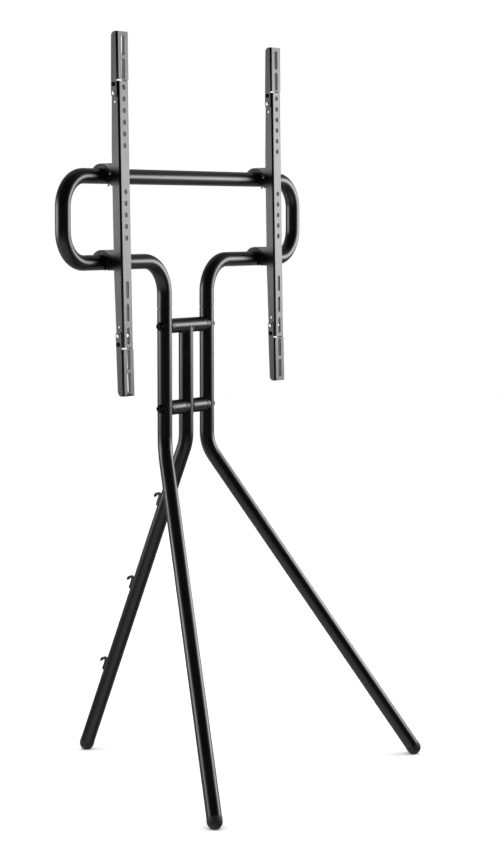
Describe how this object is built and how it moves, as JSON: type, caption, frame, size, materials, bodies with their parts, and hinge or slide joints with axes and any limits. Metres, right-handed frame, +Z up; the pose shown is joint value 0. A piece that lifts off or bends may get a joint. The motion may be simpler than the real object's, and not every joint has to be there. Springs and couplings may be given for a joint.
{
  "type": "easel tv stand",
  "caption": "Three-legged easel floor stand of bent round tube, with a looped tube frame and two hooked channel arms whose ends fold out to carry a flat screen.",
  "frame": {"origin": "on the floor, at the centre of the stand's bounding box seen from above", "axes": "+X from the left loop to the right loop seen from the front, +Y to the rear leg, +Z up"},
  "size_m": [0.735, 0.5676, 1.3467],
  "materials": {
    "tube_coat": "satin black powder coat on steel tube",
    "sheet_coat": "satin black powder coat on pressed steel",
    "latch_coat": "black coated steel",
    "rubber": "matt moulded rubber",
    "clip_plastic": "moulded black nylon",
    "liner_plastic": "moulded black plastic",
    "saddle_plastic": "moulded black plastic",
    "spigot_finish": "black phosphated steel",
    "black_screw": "black oxide steel",
    "zinc": "bright zinc plate",
    "inner_steel": "plain steel"
  },
  "bodies": {
    "stand": {"upper_frame_tube": "tube_coat", "left_front_leg": "tube_coat", "left_foot_cap": "rubber", "left_joint_spigot": "spigot_finish", "right_front_leg": "tube_coat", "right_foot_cap": "rubber", "right_joint_spigot": "spigot_finish", "upper_cable_clip": "clip_plastic", "middle_cable_clip": "clip_plastic", "lower_cable_clip": "clip_plastic", "cable_clip_screws": "black_screw", "rear_leg": "tube_coat", "rear_foot_cap": "rubber", "upper_crossbar": "tube_coat", "left_lower_crossbar": "tube_coat", "right_lower_crossbar": "tube_coat", "crossbar_bolts": "black_screw", "saddle_washers": "black_screw", "crossbar_inserts": "inner_steel", "rear_leg_stud": "inner_steel", "upper_crossbar_saddles": "saddle_plastic", "lower_crossbar_saddles": "saddle_plastic"},
    "left_arm": {"left_rail": "sheet_coat", "left_upper_liner": "liner_plastic", "left_lower_liner": "liner_plastic", "left_latch_rivet": "zinc", "left_pivot_rivets": "zinc"},
    "left_latch": {"left_latch": "latch_coat"},
    "left_top_extension": {"left_top_extension": "sheet_coat", "left_top_lock_screws": "black_screw"},
    "left_bottom_extension": {"left_bottom_extension": "sheet_coat", "left_bottom_lock_screws": "black_screw"},
    "right_arm": {"right_rail": "sheet_coat", "right_upper_liner": "liner_plastic", "right_lower_liner": "liner_plastic", "right_latch_rivet": "zinc", "right_pivot_rivets": "zinc"},
    "right_latch": {"right_latch": "latch_coat"},
    "right_top_extension": {"right_top_extension": "sheet_coat", "right_top_lock_screws": "black_screw"},
    "right_bottom_extension": {"right_bottom_extension": "sheet_coat", "right_bottom_lock_screws": "black_screw"}
  },
  "joints": [
    {"name": "left_arm_slide", "type": "slide", "parent": "stand", "child": "left_arm", "axis": [1, 0, 0], "range_m": [-0.047, 0.094]},
    {"name": "left_latch_swing", "type": "hinge", "parent": "left_arm", "child": "left_latch", "pos_m": [-0.236, 0.0091, 1.10365], "axis": [1, 0, 0], "range_deg": [-30, 15]},
    {"name": "left_top_fold", "type": "hinge", "parent": "left_arm", "child": "left_top_extension", "pos_m": [-0.236, -0.00221, 1.24067], "axis": [-1, 0, 0], "range_deg": [0, 180]},
    {"name": "left_bottom_fold", "type": "hinge", "parent": "left_arm", "child": "left_bottom_extension", "pos_m": [-0.236, -0.00955, 0.82033], "axis": [1, 0, 0], "range_deg": [0, 180]},
    {"name": "right_arm_slide", "type": "slide", "parent": "stand", "child": "right_arm", "axis": [1, 0, 0], "range_m": [-0.094, 0.047]},
    {"name": "right_latch_swing", "type": "hinge", "parent": "right_arm", "child": "right_latch", "pos_m": [0.236, 0.0091, 1.10365], "axis": [1, 0, 0], "range_deg": [-30, 15]},
    {"name": "right_top_fold", "type": "hinge", "parent": "right_arm", "child": "right_top_extension", "pos_m": [0.236, -0.00221, 1.24067], "axis": [-1, 0, 0], "range_deg": [0, 180]},
    {"name": "right_bottom_fold", "type": "hinge", "parent": "right_arm", "child": "right_bottom_extension", "pos_m": [0.236, -0.00955, 0.82033], "axis": [1, 0, 0], "range_deg": [0, 180]}
  ]
}
